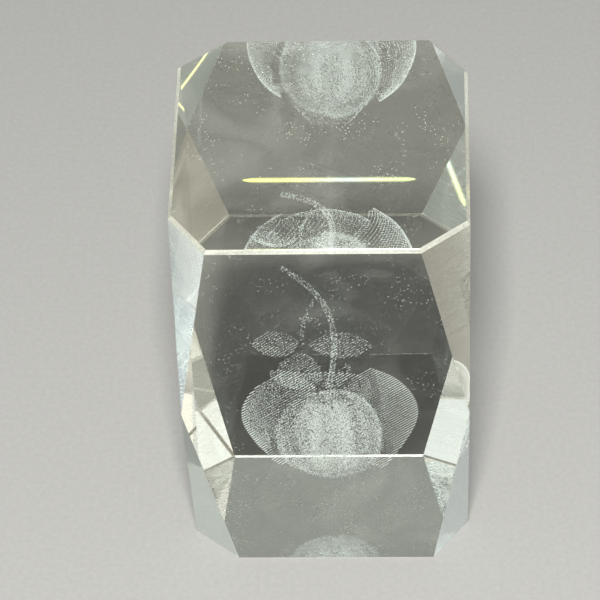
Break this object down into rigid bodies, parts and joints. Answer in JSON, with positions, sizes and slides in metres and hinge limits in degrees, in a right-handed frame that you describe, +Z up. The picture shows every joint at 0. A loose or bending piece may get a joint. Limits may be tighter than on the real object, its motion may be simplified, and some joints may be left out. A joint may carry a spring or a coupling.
{
  "type": "crystal award",
  "caption": "Free-standing clear crystal block award with obliquely ground corners, bevelled ends and a rose engraved inside the glass.",
  "frame": {"origin": "middle of the base, on the surface that the block stands on", "axes": "+Z up along the block's long axis; the front face, through which the bloom is read, looks towards -Y; +X to the viewer's right"},
  "size_m": [0.06, 0.06, 0.1],
  "materials": {
    "crystal": "polished optical glass",
    "engraving": "matt white laser marks inside the glass"
  },
  "bodies": {
    "root": {"crystal_block": "crystal", "etched_bract": "engraving", "etched_bud_inner_petal_1": "engraving", "etched_bud_inner_petal_2": "engraving", "etched_bud_inner_petal_3": "engraving", "etched_bud_outer_petal_1": "engraving", "etched_bud_outer_petal_2": "engraving", "etched_bud_outer_petal_3": "engraving", "etched_calyx": "engraving", "etched_heart_petal_1": "engraving", "etched_heart_petal_2": "engraving", "etched_leaf_stalk": "engraving", "etched_leaflet_left": "engraving", "etched_leaflet_lower": "engraving", "etched_leaflet_right": "engraving", "etched_petal_back": "engraving", "etched_petal_left": "engraving", "etched_petal_right": "engraving", "etched_sepal_left": "engraving", "etched_sepal_right": "engraving", "etched_stem": "engraving"}
  },
  "joints": []
}
